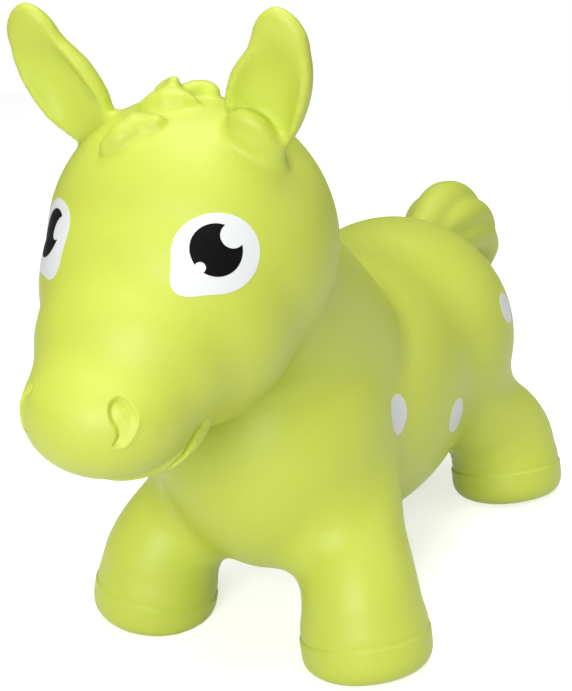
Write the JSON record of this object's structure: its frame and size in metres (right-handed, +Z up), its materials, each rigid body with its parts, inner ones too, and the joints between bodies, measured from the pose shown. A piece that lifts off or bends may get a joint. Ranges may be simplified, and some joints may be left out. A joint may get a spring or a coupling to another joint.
{
  "type": "bouncy ride-on animal",
  "caption": "Inflatable soft vinyl hopper pony for a small child to sit on and bounce about, with springy legs, ears to hold on to and an air valve under the belly.",
  "frame": {"origin": "on the floor under the middle of the pony's bounding box", "axes": "+Z up; the pony faces -Y; +X is its own left"},
  "size_m": [0.2746, 0.6436, 0.4744],
  "materials": {
    "vinyl": "satin lime green soft vinyl, smooth",
    "white_print": "satin white ink",
    "black_print": "satin black ink",
    "clear_valve": "milky soft plastic"
  },
  "bodies": {
    "body": {"body_skin": "vinyl", "valve_seat": "clear_valve", "neck_skin": "vinyl", "tail_root": "vinyl", "front_left_leg": "vinyl", "front_right_leg": "vinyl", "rear_left_leg": "vinyl", "rear_right_leg": "vinyl", "left_spot_1": "white_print", "left_spot_2": "white_print", "left_spot_3": "white_print", "right_spot_1": "white_print", "right_spot_2": "white_print", "right_spot_3": "white_print"},
    "head": {"head_skin": "vinyl", "left_ear_root": "vinyl", "right_ear_root": "vinyl", "left_eye_white": "white_print", "left_pupil": "black_print", "right_eye_white": "white_print", "right_pupil": "black_print"},
    "left_ear": {"left_ear": "vinyl"},
    "right_ear": {"right_ear": "vinyl"},
    "tail": {"tail": "vinyl"},
    "air_plug": {"air_plug": "clear_valve"},
    "front_left_hoof": {"front_left_hoof": "vinyl"},
    "front_right_hoof": {"front_right_hoof": "vinyl"},
    "rear_left_hoof": {"rear_left_hoof": "vinyl"},
    "rear_right_hoof": {"rear_right_hoof": "vinyl"}
  },
  "joints": [
    {"name": "front_left_leg_squash", "type": "slide", "parent": "body", "child": "front_left_hoof", "axis": [0, 0, 1], "range_m": [0, 0.012], "stiffness_N_per_m": 3600, "springref_m": -0.0025, "deforming": ["front_left_leg"]},
    {"name": "front_right_leg_squash", "type": "slide", "parent": "body", "child": "front_right_hoof", "axis": [0, 0, 1], "range_m": [0, 0.012], "stiffness_N_per_m": 3600, "springref_m": -0.0025, "deforming": ["front_right_leg"]},
    {"name": "rear_left_leg_squash", "type": "slide", "parent": "body", "child": "rear_left_hoof", "axis": [0, 0, 1], "range_m": [0, 0.012], "stiffness_N_per_m": 3600, "springref_m": -0.0025, "deforming": ["rear_left_leg"]},
    {"name": "rear_right_leg_squash", "type": "slide", "parent": "body", "child": "rear_right_hoof", "axis": [0, 0, 1], "range_m": [0, 0.012], "stiffness_N_per_m": 3600, "springref_m": -0.0025, "deforming": ["rear_right_leg"]},
    {"name": "neck_nod", "type": "hinge", "parent": "body", "child": "head", "pos_m": [0, -0.098, 0.2532], "axis": [1, 0, 0], "range_deg": [-8, 8], "stiffness_Nm_per_rad": 90, "deforming": ["neck_skin"]},
    {"name": "left_ear_flop", "type": "hinge", "parent": "head", "child": "left_ear", "pos_m": [0.0715, -0.1761, 0.4151], "axis": [0.9197, 0.0643, -0.3874], "range_deg": [-20, 20], "stiffness_Nm_per_rad": 1.4, "deforming": ["left_ear_root"]},
    {"name": "right_ear_flop", "type": "hinge", "parent": "head", "child": "right_ear", "pos_m": [-0.0715, -0.1761, 0.4151], "axis": [0.9197, -0.0643, 0.3874], "range_deg": [-20, 20], "stiffness_Nm_per_rad": 1.4, "deforming": ["right_ear_root"]},
    {"name": "tail_bob", "type": "hinge", "parent": "body", "child": "tail", "pos_m": [0, 0.2445, 0.2298], "axis": [1, 0, 0], "range_deg": [-10, 10], "stiffness_Nm_per_rad": 3, "deforming": ["tail_root"]},
    {"name": "air_plug_pull", "type": "slide", "parent": "body", "child": "air_plug", "axis": [0, 0, -1], "range_m": [0, 0.012]}
  ]
}
